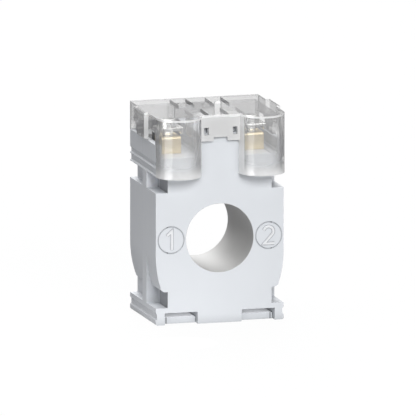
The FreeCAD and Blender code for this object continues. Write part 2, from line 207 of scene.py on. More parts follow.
class CoverSettings(bpy.types.PropertyGroup):
    colour: FloatVectorProperty(
        name="Cover colour", description="Tint of the clear moulding", default=(0.64, 0.64, 0.64), **COLOUR,
    )
    face_opacity: FloatProperty(
        name="Face opacity", description="How much of the view one wall surface hides when seen square on",
        default=0.24, **SHARE,
    )
    rim_opacity: FloatProperty(
        name="Rim opacity", description="How much it hides when seen edge on", default=0.72, **SHARE,
    )
    plate_share: FloatProperty(
        name="Plate share", description="How much of this opacity the polished top plate has",
        default=0.5, **SHARE,
    )
    rear_share: FloatProperty(
        name="Rear share", description="How much more opaque the rear wall is than the others",
        min=0, max=3, default=1.45,
    )
    shadow_share: FloatProperty(
        name="Shadow share", description="Share of its opacity with which the cover shades what is inside",
        default=0.42, **SHARE,
    )
    rim_shade: FloatProperty(
        name="Rim shade", description="How much the lower rim shades the case below it", default=0.7, **SHARE,
    )
    # Painted highlight on the rounded edges of the cover, which are painted near white
    edge_painted_highlight: FloatProperty(
        name="Edge glow", description="How bright the rounded edges are, which gather the light",
        default=0.9, **SHARE,
    )
    # The lower rim of the round fronts is painted lighter, as painted light
    rim_height: FloatProperty(
        name="Rim height", description="Height of the lower rim of the round fronts, which gathers the light",
        default=4.6 * MM, **LENGTH,
    )
    rim_glow: FloatProperty(
        name="Rim glow", description="How much more the lower rim and the bridge hide than the walls",
        default=0.38, **SHARE,
    )
    # Share of the lower rim's painted light that the bridge gets
    bridge_share: FloatProperty(
        name="Bridge share", description="How much of the rim's glow the bridge between the round fronts has",
        default=0.95, **SHARE,
    )
    edge_colour: FloatVectorProperty(
        name="Edge colour", description="Tint of the clear moulding where it is seen edge on",
        default=(0.30, 0.30, 0.31), **COLOUR,
    )
    # Dark colour of the cut walls, partly painted shade of the hollows behind them
    cut_colour: FloatVectorProperty(
        name="Cut edge colour", description="Colour of the wall's thickness at windows and cable arches",
        default=(0.2, 0.2, 0.21), **COLOUR,
    )
    roughness: FloatProperty(
        name="Roughness", description="Sheen of the clear moulding", default=0.12, **SHARE,
    )
    edge_radius: FloatProperty(
        name="Edge radius", description="Rounding of the cover edges", default=0.3 * MM, **LENGTH,
    )


class TerminalSettings(bpy.types.PropertyGroup):
    brass_colour: FloatVectorProperty(
        name="Brass colour", description="Colour of the bent terminal strips",
        default=(0.86, 0.72, 0.47), **COLOUR,
    )
    plating_colour: FloatVectorProperty(
        name="Plating colour", description="Colour of the plated screws and plates",
        default=(0.82, 0.82, 0.80), **COLOUR,
    )
    thread_pitch: FloatProperty(
        name="Thread pitch", description="Rise of one turn of the screw thread", default=0.6 * MM, **LENGTH,
    )
    thread_depth: FloatProperty(
        name="Thread depth", description="Depth of the thread below the shank's surface",
        default=0.28 * MM, **LENGTH,
    )


class WindingSettings(bpy.types.PropertyGroup):
    turns: IntProperty(
        name="Turns", description="Turns shown side by side round the ring", min=3, default=120,
    )
    colour: FloatVectorProperty(
        name="Copper colour", description="Colour of the enamelled wire",
        default=(0.62, 0.25, 0.11), **COLOUR,
    )


class StageSettings(bpy.types.PropertyGroup):
    azimuth: FloatProperty(
        name="Azimuth", description="Direction the camera looks from, 0 being the front",
        subtype="ANGLE", default=math.radians(-15.72),
    )
    elevation: FloatProperty(
        name="Elevation", description="Height of the camera above the horizon",
        subtype="ANGLE", default=math.radians(10.76),
    )
    view_width: FloatProperty(
        name="View width", description="Width of the orthographic picture", default=129.65 * MM, **LENGTH,
    )
    aim_right: FloatProperty(
        name="Aim right", description="Picture centre, to the right of the window's centre",
        unit="LENGTH", default=-3.66 * MM,
    )
    aim_up: FloatProperty(
        name="Aim up", description="Picture centre, above the window's centre",
        unit="LENGTH", default=9.27 * MM,
    )
    key_power: FloatProperty(
        name="Key power", description="Power of the large front light", default=8.2, **POWER,
    )
    top_power: FloatProperty(
        name="Top power", description="Power of the overhead light", default=5.5, **POWER,
    )
    back_power: FloatProperty(
        name="Back power", description="Power of the light behind the part", default=4.0, **POWER,
    )
    side_power: FloatProperty(
        name="Side power", description="Power of the broad light on the left", default=1.5, **POWER,
    )
    slot_power: FloatProperty(
        name="Slot power", description="Power of the tiny lights over the tongues in the base slots",
        min=0, precision=6, default=0.000065,
    )
    strip_power: FloatProperty(
        name="Strip power", description="Power of the lights that are only mirrored in glossy surfaces",
        default=0.1, **POWER,
    )
    ambient: FloatProperty(
        name="Ambient", description="Even light from all round", min=0, max=2, default=0.05,
    )
    mirrored: FloatProperty(
        name="Mirrored light", description="Brightness of what is mirrored", min=0, max=2, default=0.62,
    )
    floor_glow: FloatProperty(
        name="Floor glow", description="Light that the floor throws up", min=0, max=2, default=0.18,
    )
    near_glow: FloatProperty(
        name="Near glow", description="Light thrown up right beside the part", min=0, max=4, default=1.15,
    )
    near_radius: FloatProperty(
        name="Near radius", description="How far the brighter patch of floor reaches",
        default=70 * MM, **LENGTH,
    )


SETTINGS = {
    "ct_case": CaseSettings,
    "ct_marks": MarkSettings,
    "ct_cover": CoverSettings,
    "ct_terminals": TerminalSettings,
    "ct_winding": WindingSettings,
    "ct_stage": StageSettings,
}


# Material building

class Shader:
    """A new material with its main shader, and short ways to add nodes to it."""

    def __init__(self, name, **sockets):
        self.material = bpy.data.materials.new(name)
        self.material.use_nodes = True
        self.nodes = self.material.node_tree.nodes
        self.links = self.material.node_tree.links
        self.main = self.nodes["Principled BSDF"]
        self.output = self.nodes["Material Output"]
        for socket, value in sockets.items():
            self.main.inputs[socket.replace("_", " ")].default_value = value

    def node(self, kind, **values):
        made = self.nodes.new("ShaderNode" + kind)
        for key, value in values.items():
            setattr(made, key, value)
        return made

    def link(self, source, target):
        self.links.new(source, target)

    def feed(self, socket, value):
        """Links the output of another node to an input, or sets it to a number."""
        if isinstance(value, bpy.types.NodeSocket):
            self.link(value, socket)
        else:
            socket.default_value = value

    def place(self):
        """The surface's place in the object's own coordinates."""
        return self.node("TexCoord").outputs["Object"]

    def split(self, vector):
        made = self.node("SeparateXYZ")
        self.link(vector, made.inputs["Vector"])
        return made.outputs

    def noise(self, size, detail, place=None):
        """Unevenness whose features are about as wide as size."""
        made = self.node("TexNoise")
        made.inputs["Scale"].default_value = 1 / size
        made.inputs["Detail"].default_value = detail
        self.link(place or self.place(), made.inputs["Vector"])
        return made.outputs["Fac"]

    def ramp(self, value, low, high, low_colour, high_colour):
        made = self.node("ValToRGB")
        stops = made.color_ramp.elements
        for stop, position, colour in ((stops[0], low, low_colour), (stops[1], high, high_colour)):
            stop.position = position
            stop.color = (*colour, 1)
        self.link(value, made.inputs["Fac"])
        return made.outputs["Color"]

    def spread(self, value, low, high, start=0.0, end=1.0, **kind):
        """Values from start to end, turned into ones from low to high."""
        made = self.node("MapRange", **kind)
        for socket, limit in (("From Min", start), ("From Max", end), ("To Min", low), ("To Max", high)):
            made.inputs[socket].default_value = limit
        self.link(value, made.inputs["Value"])
        return made.outputs["Result"]

    def math(self, operation, first, second=0.0):
        made = self.node("Math", operation=operation)
        self.feed(made.inputs[0], first)
        self.feed(made.inputs[1], second)
        return made.outputs["Value"]

    def times(self, first, *others):
        for other in others:
            first = self.math("MULTIPLY", first, other)
        return first

    def most(self, first, second):
        return self.math("MAXIMUM", first, second)

    def above(self, value, limit):
        """1 where the value is over a limit, and otherwise 0."""
        return self.math("GREATER_THAN", value, limit)

    def below(self, value, limit):
        return self.math("LESS_THAN", value, limit)

    def between(self, value, low, high):
        return self.times(self.above(value, low), self.below(value, high))

    def squares(self, x, z):
        """The distance from the window's axis, squared."""
        return self.math("ADD", self.math("POWER", x, 2.0), self.math("POWER", z, 2.0))

    def paint(self, colour):
        self.link(colour, self.main.inputs["Base Color"])

    def tint(self, colour, amount, blend="MULTIPLY"):
        """Blends a colour into the one painted so far, as far as amount says."""
        made = self.node("Mix", data_type="RGBA", blend_type=blend)
        sockets = {socket.identifier: socket for socket in (*made.inputs, *made.outputs)}
        self.link(self.main.inputs["Base Color"].links[0].from_socket, sockets["A_Color"])
        if not isinstance(colour, bpy.types.NodeSocket):
            colour = (*colour, 1)
        self.feed(sockets["B_Color"], colour)
        self.feed(sockets["Factor_Float"], amount)
        self.paint(sockets["Result_Color"])

    def bump(self, height, depth):
        made = self.node("Bump")
        made.inputs["Distance"].default_value = depth
        self.link(height, made.inputs["Height"])
        self.link(made.outputs["Normal"], self.main.inputs["Normal"])

    def vary_colour(self, colour, amount, size):
        """Slow unevenness of the colour over the surface."""
        darker = tuple(max(0.0, c * (1 - amount)) for c in colour)
        lighter = tuple(min(1.0, c * (1 + amount)) for c in colour)
        self.paint(self.ramp(self.noise(size, 2.0), 0.3, 0.7, darker, lighter))

    def vary_roughness(self, low, high, size):
        self.link(self.spread(self.noise(size, 4.0), low, high), self.main.inputs["Roughness"])


def moulded_plastic(name, colour, roughness, grain_size, grain_depth):
    """Shader of an opaque satin moulding with a fine grain."""
    shader = Shader(name, IOR=1.46)
    shader.vary_colour(colour, 0.012, 14 * MM)
    shader.vary_roughness(roughness - SATIN_SPREAD, roughness + SATIN_SPREAD, 3 * MM)
    shader.bump(shader.noise(grain_size, 3.0), grain_depth)
    return shader


def case_plastic(name, settings):
    """Shader of the case moulding, tinted by place to match the tones of the photo: painted shade and painted
    light.
    """
    grain = settings.grain_size, settings.grain_depth
    shader = moulded_plastic(name, settings.colour, settings.roughness, *grain)
    x, y, z = shader.split(shader.place())
    aside = shader.math("ABSOLUTE", x)

    # Painted shade in the window: the lining is warmed and darkened, and its upper part darker still
    lining = shader.below(shader.squares(x, z), (settings.window_radius + LINING_MARGIN) ** 2)
    rise = shader.spread(z, 0.0, 1.0, -LINING_FADE * settings.window_radius, 0.0)
    shader.tint(settings.lining_tone_and_shade, lining)
    shader.tint(settings.lining_shade, shader.times(rise, lining))

    # Painted shade in corners and grooves, from ambient occlusion
    corners = shader.node("AmbientOcclusion", samples=8)
    corners.inputs["Distance"].default_value = settings.corner_reach
    shade = shader.spread(corners.outputs["AO"], settings.corner_shade, 1.0)
    grey = shader.node("CombineColor")
    for channel in ("Red", "Green", "Blue"):
        shader.link(shade, grey.inputs[channel])
    shader.tint(grey.outputs["Color"], 1.0)

    # Painted shade on the end walls of the notches
    notch = shader.times(shader.between(aside, *NOTCH_WALL), shader.between(y, *NOTCH_DEPTH))
    shader.tint(settings.notch_painted_shade, notch)

    # Painted light on the upper fronts of the side ribs
    turned = shader.split(shader.node("NewGeometry").outputs["True Normal"])["Y"]
    rib = shader.times(
        shader.above(aside, NOTCH_WALL[1]), shader.between(y, *RIB_FRONT),
        shader.above(z, 0.0), shader.below(turned, RIB_FACING),
    )
    shader.tint(settings.rib_painted_light, rib)

    # Painted shade on the upper walls of the terminal compartments
    compartment = shader.times(
        shader.between(aside, *COMPARTMENT_SIDES), shader.between(y, *COMPARTMENT_DEPTH),
        shader.above(z, COMPARTMENT_FOOT),
    )
    shader.tint(settings.compartment_painted_shade, compartment)
    return shader


def rear_case_plastic(settings):
    """The same with painted shade on the backs of the terminal compartments and painted light on the tongues.
    """
    shader = case_plastic("rear_case_plastic", settings)
    x, y, z = shader.split(shader.place())
    # Painted shade on the backs of the terminal compartments
    pocket = shader.times(
        shader.between(y, *POCKET_BACK), shader.between(shader.math("ABSOLUTE", x), *COMPARTMENT_SIDES),
        shader.above(z, POCKET_FLOOR),
    )
    # Painted light on the tongues in the base slots: their colour is replaced by a near white
    tongue = shader.times(shader.between(y, *TONGUE_DEPTH), shader.below(z, TONGUE_TOP))
    shader.tint(settings.pocket_painted_shade, pocket)
    shader.tint(settings.tongue_painted_light, tongue, "MIX")
    return shader


def clear_plastic(settings, rim_foot, top):
    """Clear moulding that hides more when seen edge on and at its lower rim, with painted light on its rim,
    bridge, edges and lug fronts.
    """
    shader = Shader("clear_plastic", Roughness=settings.roughness, IOR=CLEAR_IOR)
    shader.vary_colour(settings.colour, 0.03, 9 * MM)
    x, y, z = shader.split(shader.place())
    aside = shader.math("ABSOLUTE", x)
    slope = shader.math("ABSOLUTE", shader.split(shader.node("NewGeometry").outputs["Normal"])["Z"])

    # Painted light: the lower rim, the bridge, the rounded outer edges and the lugs' front edges are painted
    # near white
    rim_top = rim_foot + settings.rim_height
    rim = shader.spread(z, 1.0, 0.0, rim_foot, rim_top, interpolation_type="SMOOTHSTEP")
    bridge = shader.times(shader.below(aside, BRIDGE_REACH), shader.below(y, 0.0))
    outer = shader.most(shader.above(aside, WINDOW_REACH), shader.below(y, COVER_FRONT))
    upper = shader.above(z, top - 2 * settings.edge_radius)
    line = shader.times(upper, outer, shader.below(slope, FLAT_SLOPE))
    edge = shader.most(line, shader.times(outer, shader.between(slope, UPRIGHT_SLOPE, FLAT_SLOPE)))
    lug = shader.times(shader.above(aside, LUG_REACH), shader.between(y, *LUG_FRONT))
    glow = shader.most(rim, shader.times(bridge, settings.bridge_share))
    glow = shader.most(glow, shader.most(shader.times(edge, settings.edge_painted_highlight), lug))

    weight = shader.node("LayerWeight")
    weight.inputs["Blend"].default_value = FACING_BLEND
    facing = weight.outputs["Facing"]
    shader.tint(settings.edge_colour, shader.math("POWER", facing, FACING_POWER))
    shader.tint(PAINTED_LIGHT_COLOUR, glow, "MIX")

    # Opacity as seen, and the lesser one with which the cover shades what is inside
    wall = shader.times(
        shader.spread(facing, settings.face_opacity, settings.rim_opacity),
        shader.spread(shader.above(slope, FLAT_SLOPE), 1.0, settings.plate_share),
        shader.spread(shader.above(y, COVER_REAR), 1.0, settings.rear_share),
    )
    seen = shader.math("ADD", wall, shader.times(glow, settings.rim_glow))
    seen = shader.math("ADD", seen, shader.times(line, settings.rim_glow))
    shading = shader.times(wall, settings.shadow_share)
    shading = shader.math("ADD", shading, shader.times(glow, settings.rim_shade))
    opacity = shader.node("Mix")
    shader.link(shader.node("LightPath").outputs["Is Shadow Ray"], opacity.inputs["Factor"])
    shader.link(seen, opacity.inputs["A"])
    shader.link(shading, opacity.inputs["B"])
    shader.link(opacity.outputs["Result"], shader.main.inputs["Alpha"])
    return shader.material


def cut_plastic(settings):
    """The same moulding seen through its thickness, where a window or an arch is cut, dark and nearly opaque,
    partly as painted shade of the hollows behind.
    """
    shader = Shader("cut_plastic", Roughness=0.3, IOR=CLEAR_IOR, Alpha=0.88)
    shader.vary_colour(settings.cut_colour, 0.05, 2 * MM)
    return shader.material


def metal(name, colour, low_roughness, high_roughness, brush_size, brush_depth, brush_stretch):
    """Bare or plated metal with fine marks drawn out along one direction."""
    shader = Shader(name, Metallic=1.0)
    shader.vary_colour(colour, 0.06, 2 * MM)
    shader.vary_roughness(low_roughness, high_roughness, 0.8 * MM)
    stretch = shader.node("Mapping")
    stretch.inputs["Scale"].default_value = brush_stretch
    shader.link(shader.place(), stretch.inputs["Vector"])
    marks = shader.noise(brush_size, 4.0, stretch.outputs["Vector"])
    shader.bump(marks, brush_depth)
    return shader.material


def wound_strip():
    """Bright steel whose ends show the edges of the wound strip as fine rings."""
    shader = Shader("wound_strip", Metallic=1.0, Roughness=0.35)
    x, _, z = shader.split(shader.place())
    radius = shader.math("SQRT", shader.squares(x, z))
    turns = shader.math("SINE", shader.times(radius, 2 * math.pi / STRIP_THICKNESS))
    layers = shader.spread(turns, 0.0, 1.0)
    shader.paint(shader.ramp(layers, 0.2, 0.8, (0.30, 0.31, 0.33), (0.55, 0.56, 0.58)))
    shader.bump(layers, 0.02 * MM)
    return shader.material


def enamelled_copper(colour):
    shader = Shader("enamelled_copper", Metallic=1.0)
    shader.main.inputs["Coat Weight"].default_value = 0.6
    shader.main.inputs["Coat Roughness"].default_value = 0.1
    shader.vary_colour(colour, 0.08, 4 * MM)
    shader.vary_roughness(0.22, 0.34, 1 * MM)
    shader.bump(shader.noise(0.7 * MM, 2.0), 0.01 * MM)
    return shader.material


def wrap_film():
    """Glossy film tape, each lap a little darker where it doubles up."""
    shader = Shader("wrap_film", Roughness=0.2, IOR=1.5)
    x, _, z = shader.split(shader.place())
    angle = shader.math("ARCTAN2", z, x)
    laps = shader.math("FRACT", shader.times(angle, FILM_LAPS / (2 * math.pi)))
    shader.paint(shader.ramp(laps, 0.42, 0.5, (0.72, 0.50, 0.10), (0.84, 0.63, 0.17)))
    shader.bump(laps, 0.04 * MM)
    return shader.material


def foam_rubber():
    shader = Shader("foam_rubber", Roughness=0.9)
    shader.vary_colour((0.045, 0.045, 0.05), 0.3, 1.5 * MM)
    cells = shader.node("TexVoronoi")
    cells.inputs["Scale"].default_value = 1 / CELL_SIZE
    shader.link(shader.place(), cells.inputs["Vector"])
    shader.bump(cells.outputs["Distance"], 0.15 * MM)
    return shader.material


# Mesh helpers

def add_object(name, data):
    made = bpy.data.objects.new(name, data)
    bpy.context.scene.collection.objects.link(made)
    return made


def plain_mesh(shape, name):
    """The mesh of a finished bmesh, which is freed."""
    mesh = bpy.data.meshes.new(name)
    shape.to_mesh(mesh)
    shape.free()
    return mesh


def dress(node, material):
    """Puts one material on a carried-over solid."""
    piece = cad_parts[node]
    piece.data.materials.clear()
    piece.data.materials.append(material)
    return piece


def round_edges(piece, radius, segments=2):
    """Welds the loose triangles and rounds every sharp edge, all as modifiers."""
    weld = piece.modifiers.new("weld", "WELD")
    weld.merge_threshold = WELD_REACH
    flat = piece.modifiers.new("flat", "DECIMATE")
    flat.decimate_type = "DISSOLVE"
    flat.angle_limit = FLAT_ANGLE
    bevel = piece.modifiers.new("bevel", "BEVEL")
    bevel.width = radius
    bevel.segments = segments
    bevel.limit_method = "ANGLE"
    bevel.angle_limit = EDGE_ANGLE
    bevel.miter_outer = "MITER_ARC"
    smooth = piece.modifiers.new("normals", "WEIGHTED_NORMAL")
    smooth.keep_sharp = True


def new_piece(name, mesh, material, body, replaced=()):
    """A new object of the part that rides on a body."""
    mesh.materials.clear()
    mesh.materials.append(material)
    piece = add_object(name, mesh)
    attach(piece, body)
    if replaced:
        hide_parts(*replaced)
    return piece


def baked_mesh(piece, name):
    """The plain mesh of an object with its modifiers applied; the object goes."""
    bpy.context.view_layer.update()
    graph = bpy.context.evaluated_depsgraph_get()
    mesh = bpy.data.meshes.new_from_object(piece.evaluated_get(graph), depsgraph=graph)
    mesh.name = name
    data = piece.data
    bpy.data.objects.remove(piece)
    if isinstance(data, bpy.types.Mesh):
        bpy.data.meshes.remove(data)
    else:
        bpy.data.curves.remove(data)
    return mesh


def solid_copy(node, radius, segments, name):
    """A merged copy of a solid's mesh with rounded edges."""
    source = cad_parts[node]
    piece = add_object(name, source.data.copy())
    piece.data.shade_smooth()
    round_edges(piece, radius, segments)
    return baked_mesh(piece, name)


def middle(node):
    low, high = (Vector(corner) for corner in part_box(node))
    return (low + high) / 2


def lathe(profile, steps):
    """A closed mesh turned from (radius, height) points round the upright axis."""
    shape = bmesh.new()
    rings = []
    for radius, height in profile:
        ring = []
        for step in range(steps):
            turn = 2 * math.pi * step / steps
            ring.append(shape.verts.new((radius * math.cos(turn), radius * math.sin(turn), height)))
        rings.append(ring)
    for lower, upper in zip(rings, rings[1:]):
        for step in range(steps):
            after = (step + 1) % steps
            shape.faces.new((lower[step], lower[after], upper[after], upper[step]))
    shape.faces.new(list(reversed(rings[0])))
    shape.faces.new(rings[-1])
    bmesh.ops.recalc_face_normals(shape, faces=shape.faces)
    return plain_mesh(shape, "lathe")


# Geometry node helpers

class Tree:
    """A geometry node tree with named inputs, ending in Realize Instances and Set Material."""

    def __init__(self, name):
        self.tree = bpy.data.node_groups.new(name, "GeometryNodeTree")
        self.tree.interface.new_socket("Geometry", in_out="OUTPUT", socket_type="NodeSocketGeometry")
        self.start = self.tree.nodes.new("NodeGroupInput")
        self.end = self.tree.nodes.new("NodeGroupOutput")
        self.identifiers = {}

    def size(self, name, kind="Float"):
        socket = self.tree.interface.new_socket(name, in_out="INPUT", socket_type="NodeSocket" + kind)
        self.identifiers[name] = socket.identifier
        return self.start.outputs[name]

    def node(self, kind, values=None, family="GeometryNode", **attributes):
        made = self.tree.nodes.new(family + kind)
        for key, value in attributes.items():
            setattr(made, key, value)
        for socket, value in (values or {}).items():
            if isinstance(value, bpy.types.NodeSocket):
                self.tree.links.new(value, made.inputs[socket])
            else:
                made.inputs[socket].default_value = value
        return made

    def math(self, operation, first, second=0.0):
        return self.node("Math", {0: first, 1: second}, "ShaderNode", operation=operation).outputs[0]

    def finish(self, geometry, material):
        real = self.node("RealizeInstances", {"Geometry": geometry})
        painted = self.node("SetMaterial", {"Geometry": real.outputs[0], "Material": material})
        self.tree.links.new(painted.outputs[0], self.end.inputs[0])

    def mesh(self, name, sizes):
        """Runs the tree on an empty object and returns the plain mesh."""
        carrier = add_object(name, bpy.data.meshes.new(name))
        modifier = carrier.modifiers.new("nodes", "NODES")
        modifier.node_group = self.tree
        for key, value in sizes.items():
            modifier[self.identifiers[key]] = value
        return baked_mesh(carrier, name)


def thread_tree(material):
    """A ridge that winds round an upright axis: a screw thread."""
    tree = Tree("screw_thread")
    names = ("Core radius", "Depth", "Pitch", "Length")
    radius, depth, pitch, length = (tree.size(name) for name in names)
    turns = tree.math("DIVIDE", length, pitch)
    helix = tree.node("CurveSpiral", {
        "Resolution": 32, "Rotations": turns, "Start Radius": radius, "End Radius": radius, "Height": length,
    })
    profile = tree.node("CurvePrimitiveCircle", {"Resolution": 4, "Radius": depth}, mode="RADIUS")
    ridge = tree.node("CurveToMesh", {
        "Curve": helix.outputs[0], "Profile Curve": profile.outputs[0], "Fill Caps": True,
    })
    tree.finish(ridge.outputs[0], material)
    return tree


def turns_tree(material):
    """Loops of wire round the section of a ring, side by side all the way round."""
    tree = Tree("wire_turns")
    count = tree.size("Turns", "Int")
    names = ("Ring radius", "Loop width", "Loop length", "Wire radius")
    radius, width, length, wire = (tree.size(name) for name in names)
    loop = tree.node("CurvePrimitiveQuadrilateral", {"Width": width, "Height": length})
    round_loop = tree.node("FilletCurve", {
        "Curve": loop.outputs[0], "Radius": tree.math("MULTIPLY", wire, 2.0), "Count": 3,
    }, mode="POLY")
    section = tree.node("CurvePrimitiveCircle", {"Resolution": 8, "Radius": wire}, mode="RADIUS")
    turn = tree.node("CurveToMesh", {
        "Curve": round_loop.outputs[0], "Profile Curve": section.outputs[0],
    })
    ring = tree.node("CurvePrimitiveCircle", {"Resolution": count, "Radius": radius}, mode="RADIUS")
    points = tree.node("CurveToPoints", {"Curve": ring.outputs[0]}, mode="EVALUATED")
    placed = tree.node("InstanceOnPoints", {
        "Points": points.outputs["Points"], "Rotation": points.outputs["Rotation"], "Instance": turn.outputs[0],
    })
    tree.finish(placed.outputs[0], material)
    return tree


# Operators, one for each group of pieces

class TRANSFORMER_OT_stage(bpy.types.Operator):
    """Set the camera, the lights, the white surroundings and the floor"""

    bl_idname = "transformer.stage"
    bl_label = "Stage"

    CAMERA_DISTANCE = 0.6
    FLOOR_SIZE = 8.0
    FLOOR_DROP = 0.02 * MM
    FLOOR_SHARE = 0.8
    WHITE_SHARE = 0.95
    NEAR_CENTRE = (-0.02, -0.03)
    SIDE_COLOUR = (1.0, 0.965, 0.985)
    # Name, place and size of each large light
    LIGHTS = (
        ("key", (0.0, -0.90, 0.48), (0.7, 0.36)),
        ("top", (-0.05, 0.2, 0.9), (0.8, 0.8)),
        ("back", (0.1, 0.75, 0.6), (0.5, 0.5)),
        ("side", (-0.95, 0.18, 0.16), (1.0, 1.0)),
    )
    # Small lights in the base slots that face down
    SLOT_PLACE = (11.7 * MM, 5.5 * MM, -23.25 * MM)
    SLOT_SIZE = (11 * MM, 6 * MM)
    # Name, place, size and share of power of the lights seen in reflections alone
    MIRRORED = (
        ("strip", (-0.139, -0.056, 0.03), (0.11, 0.10), 2.6),
        ("card", (0.01, 0.22, 0.082), (0.07, 0.05), 0.05),
    )

    def execute(self, context):
        settings = context.scene.ct_stage
        self.add_camera(context, settings)
        self.add_lights(settings)
        self.add_world(context, settings)
        self.add_floor(settings)
        context.scene.view_settings.view_transform = "Standard"
        return {"FINISHED"}

    def add_camera(self, context, settings):
        azimuth, elevation = settings.azimuth, settings.elevation
        back = Vector((
            math.sin(azimuth) * math.cos(elevation),
            -math.cos(azimuth) * math.cos(elevation),
            math.sin(elevation),
        ))
        right = Vector((math.cos(azimuth), math.sin(azimuth), 0))
        up = back.cross(right)
        data = bpy.data.cameras.new("camera")
        data.type = "ORTHO"
        data.ortho_scale = settings.view_width
        camera = add_object("camera", data)
        camera.location = right * settings.aim_right + up * settings.aim_up + back * self.CAMERA_DISTANCE
        camera.rotation_euler = (-back).to_track_quat("-Z", "Y").to_euler()
        context.scene.camera = camera

    def add_area(self, name, place, size, power):
        data = bpy.data.lights.new(name, "AREA")
        data.shape = "RECTANGLE"
        data.size, data.size_y = size
        data.energy = power
        lamp = add_object(name, data)
        lamp.location = place
        lamp.rotation_euler = (-Vector(place)).to_track_quat("-Z", "Y").to_euler()
        return lamp

    def add_lights(self, settings):
        for name, place, size in self.LIGHTS:
            lamp = self.add_area(name, place, size, getattr(settings, name + "_power"))
            if name == "side":
                lamp.visible_glossy = False
                lamp.data.color = self.SIDE_COLOUR
        x, y, z = self.SLOT_PLACE
        for side, sign in zip(SIDES, (-1, 1)):
            lamp = self.add_area("slot_" + side, (sign * x, y, z), self.SLOT_SIZE, settings.slot_power)
            lamp.rotation_euler = (0, 0, 0)
            lamp.visible_camera = False
        for name, place, size, share in self.MIRRORED:
            lamp = self.add_area(name, place, size, share * settings.strip_power)
            lamp.visible_diffuse = False
            lamp.visible_camera = False

    def add_world(self, context, settings):
        """Even light for shading, greyer surroundings for reflections, white behind the part."""
        world = bpy.data.worlds.new("surroundings")
        world.use_nodes = True
        nodes = world.node_tree.nodes
        links = world.node_tree.links
        path = nodes.new("ShaderNodeLightPath")
        surface = nodes["Background"]
        surface.inputs["Color"].default_value = (0.94, 0.96, 1.0, 1)
        surface.inputs["Strength"].default_value = settings.ambient
        layers = (
            ("Is Glossy Ray", settings.mirrored),
            ("Is Transmission Ray", 1.0),
            ("Is Camera Ray", 1.0),
        )
        result = surface.outputs[0]
        for ray, strength in layers:
            light = nodes.new("ShaderNodeBackground")
            light.inputs["Color"].default_value = (1, 1, 1, 1)
            light.inputs["Strength"].default_value = strength
            mix = nodes.new("ShaderNodeMixShader")
            links.new(path.outputs[ray], mix.inputs[0])
            links.new(result, mix.inputs[1])
            links.new(light.outputs[0], mix.inputs[2])
            result = mix.outputs[0]
        links.new(result, nodes["World Output"].inputs["Surface"])
        context.scene.world = world

    def add_floor(self, settings):
        """A pale plane that keeps a faint shadow and throws light back up."""
        mesh = bpy.data.meshes.new("floor")
        half = self.FLOOR_SIZE / 2
        height = CAD_BOUNDS[0][2] - self.FLOOR_DROP
        corners = [(-half, -half, height), (half, -half, height), (half, half, height), (-half, half, height)]
        mesh.from_pydata(corners, [], [(0, 1, 2, 3)])
        floor = add_object("floor", mesh)
        shader = Shader("pale_floor", Roughness=0.9)
        shader.vary_colour((0.86, 0.87, 0.88), 0.01, 200 * MM)
        path = shader.node("LightPath")
        glow = shader.node("Emission")
        glow.inputs["Color"].default_value = (1, 1, 1, 1)
        seen = path.outputs["Is Camera Ray"]
        away = shader.node("VectorMath", operation="DISTANCE")
        away.inputs[1].default_value = (*self.NEAR_CENTRE, height)
        shader.link(shader.place(), away.inputs[0])
        fade = shader.spread(
            away.outputs["Value"], settings.near_glow, settings.floor_glow, 0.0, settings.near_radius,
        )
        shader.link(shader.most(fade, seen), glow.inputs["Strength"])
        mix = shader.node("MixShader")
        shader.link(shader.spread(seen, self.FLOOR_SHARE, self.WHITE_SHARE), mix.inputs[0])
        shader.link(shader.main.outputs[0], mix.inputs[1])
        shader.link(glow.outputs[0], mix.inputs[2])
        shader.link(mix.outputs[0], shader.output.inputs["Surface"])
        mesh.materials.append(shader.material)


class TRANSFORMER_OT_case(bpy.types.Operator):
    """Finish both moulded shells of the case"""

    bl_idname = "transformer.case"
    bl_label = "Case"

    def execute(self, context):
        settings = context.scene.ct_case
        dress("front_shell", case_plastic("case_plastic", settings).material)
        dress("rear_shell", rear_case_plastic(settings).material)
        for node in CASE_NODES:
            round_edges(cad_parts[node], settings.edge_radius)
        return {"FINISHED"}


